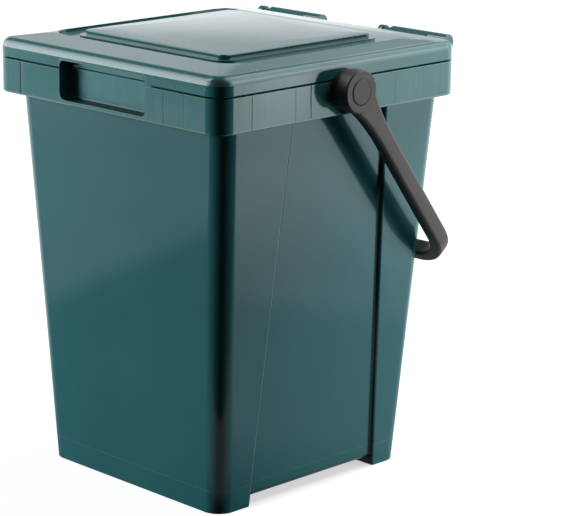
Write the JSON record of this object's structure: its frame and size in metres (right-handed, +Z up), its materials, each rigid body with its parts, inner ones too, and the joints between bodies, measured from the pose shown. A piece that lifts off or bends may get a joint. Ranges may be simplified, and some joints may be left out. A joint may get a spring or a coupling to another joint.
{
  "type": "kitchen compost bin",
  "caption": "Tapered square kitchen compost bin with a wide rim band, finger recess, rear-hinged lid and a swinging bail handle.",
  "frame": {"origin": "on the ground, below the centre of the overall bounding box", "axes": "+Z up, -Y to the front with the finger recess, +Y to the hinge, +X to the viewer's right when facing the finger recess"},
  "size_m": [0.3522, 0.337, 0.4262],
  "materials": {
    "bin_green": "glossy dark teal green",
    "handle_grey": "matte dark warm grey"
  },
  "bodies": {
    "bin": {"bin_body": "bin_green", "pivot_pin_left": "handle_grey", "pivot_pin_right": "handle_grey", "pivot_collar_left": "handle_grey", "pivot_collar_right": "handle_grey", "hinge_pin_left": "bin_green", "hinge_pin_right": "bin_green"},
    "lid": {"lid": "bin_green"},
    "handle": {"bail_handle": "handle_grey"}
  },
  "joints": [
    {"name": "lid_hinge", "type": "hinge", "parent": "bin", "child": "lid", "pos_m": [0, 0.161, 0.4115], "axis": [-1, 0, 0], "range_deg": [0, 245]},
    {"name": "handle_swing", "type": "hinge", "parent": "bin", "child": "handle", "pos_m": [0, -0.0105, 0.3906], "axis": [1, 0, 0], "range_deg": [0, 280]}
  ]
}
